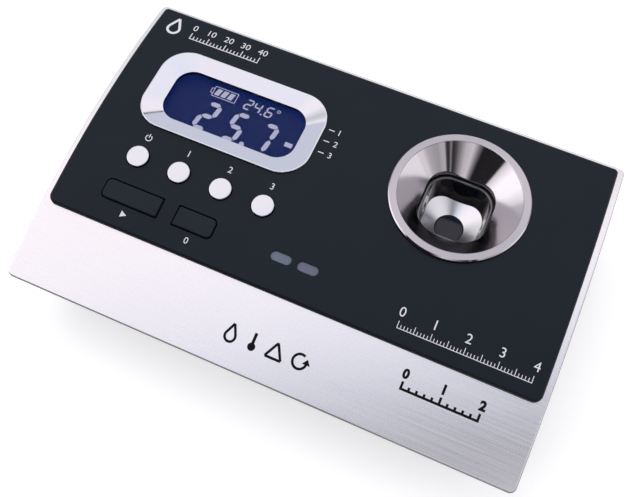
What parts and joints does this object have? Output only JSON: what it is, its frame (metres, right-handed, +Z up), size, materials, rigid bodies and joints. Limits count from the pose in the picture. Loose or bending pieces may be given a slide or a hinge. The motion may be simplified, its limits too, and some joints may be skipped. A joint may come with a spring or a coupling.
{
  "type": "digital refractometer",
  "caption": "Portable bench meter with a curved brushed plate, a raised black panel with a display and keys, and a steel funnel and well over a prism.",
  "frame": {"origin": "on the table, under the middle of the top plate", "axes": "+X to the right along the plate's long side, +Y to the back, +Z up"},
  "size_m": [0.17, 0.11, 0.04],
  "materials": {
    "plate": "fine brushing along the long side, satin",
    "panel": "satin black moulded plastic",
    "bezel_chrome": "bright plated plastic",
    "window": "clear flat window",
    "lcd": "dark blue negative display",
    "button_chrome": "bright plated cap",
    "key_plastic": "satin black key",
    "lamp_left": "translucent blue grey light pipe",
    "lamp_right": "translucent violet grey light pipe",
    "stainless": "polished cone, satin rim",
    "prism_glass": "optical glass, dark in use",
    "optic_glass": "clear optical discs",
    "seal_rubber": "soft seal",
    "case_plastic": "fine textured black moulding",
    "white_plastic": "diffusing white plastic",
    "dark_plastic": "black moulding",
    "board": "green printed circuit board",
    "chips": "black packages",
    "anodised": "black anodised block",
    "screw_steel": "zinc plated screws",
    "nut_brass": "turned ring nut",
    "cell_wrap": "plain dry cells",
    "contact_metal": "nickel plated contacts",
    "ribbon": "flat flexible cable",
    "foot_rubber": "soft feet"
  },
  "bodies": {
    "case": {"top_plate": "plate", "control_panel": "panel", "display_bezel": "bezel_chrome", "display_window": "window", "lcd_frame": "dark_plastic", "lcd_glass": "lcd", "backlight": "white_plastic", "display_board": "board", "key_board": "board", "tact_switches": "chips", "indicator_pipe_left": "lamp_left", "indicator_pipe_right": "lamp_right", "indicator_leds": "white_plastic", "stage_funnel": "stainless", "stage_seal": "seal_rubber", "stage_nut": "nut_brass", "sample_well": "stainless", "well_gasket": "seal_rubber", "cell_windows": "optic_glass", "prism": "prism_glass", "prism_seal": "seal_rubber", "prism_holder": "dark_plastic", "optical_block": "anodised", "polarimeter_led": "optic_glass", "collimating_lens": "optic_glass", "polarizer": "optic_glass", "analyzer": "optic_glass", "photodiode": "chips", "thermistor": "chips", "sensor_board": "board", "line_sensor": "chips", "refraction_led": "white_plastic", "upper_housing": "case_plastic", "base_housing": "case_plastic", "housing_gasket": "seal_rubber", "battery_cells": "cell_wrap", "battery_contacts": "contact_metal", "main_board": "board", "board_parts": "chips", "buzzer": "chips", "display_ribbon": "ribbon", "key_ribbon": "ribbon", "sensor_ribbon": "ribbon", "rubber_feet": "foot_rubber", "housing_screws": "screw_steel", "stage_screws": "screw_steel", "board_screws": "screw_steel"},
    "power": {"power_button": "button_chrome", "power_plunger": "dark_plastic"},
    "mode_1": {"mode_1_button": "button_chrome", "mode_1_plunger": "dark_plastic"},
    "mode_2": {"mode_2_button": "button_chrome", "mode_2_plunger": "dark_plastic"},
    "mode_3": {"mode_3_button": "button_chrome", "mode_3_plunger": "dark_plastic"},
    "start": {"start_key": "key_plastic", "start_plunger": "dark_plastic"},
    "zero": {"zero_key": "key_plastic", "zero_plunger": "dark_plastic"},
    "door": {"battery_door": "case_plastic"}
  },
  "joints": [
    {"name": "power_press", "type": "slide", "parent": "case", "child": "power", "axis": [0, 0.1293, -0.9916], "range_m": [0, 0.0004], "stiffness_N_per_m": 2000, "springref_m": -0.0003},
    {"name": "mode_1_press", "type": "slide", "parent": "case", "child": "mode_1", "axis": [0, 0.1293, -0.9916], "range_m": [0, 0.0004], "stiffness_N_per_m": 2000, "springref_m": -0.0003},
    {"name": "mode_2_press", "type": "slide", "parent": "case", "child": "mode_2", "axis": [0, 0.1293, -0.9916], "range_m": [0, 0.0004], "stiffness_N_per_m": 2000, "springref_m": -0.0003},
    {"name": "mode_3_press", "type": "slide", "parent": "case", "child": "mode_3", "axis": [0, 0.1293, -0.9916], "range_m": [0, 0.0004], "stiffness_N_per_m": 2000, "springref_m": -0.0003},
    {"name": "start_press", "type": "slide", "parent": "case", "child": "start", "axis": [0, 0.1293, -0.9916], "range_m": [0, 0.0004], "stiffness_N_per_m": 2000, "springref_m": -0.0003},
    {"name": "zero_press", "type": "slide", "parent": "case", "child": "zero", "axis": [0, 0.1293, -0.9916], "range_m": [0, 0.0004], "stiffness_N_per_m": 2000, "springref_m": -0.0003},
    {"name": "door_slide", "type": "slide", "parent": "case", "child": "door", "axis": [0, -1, 0], "range_m": [0, 0.008]}
  ]
}
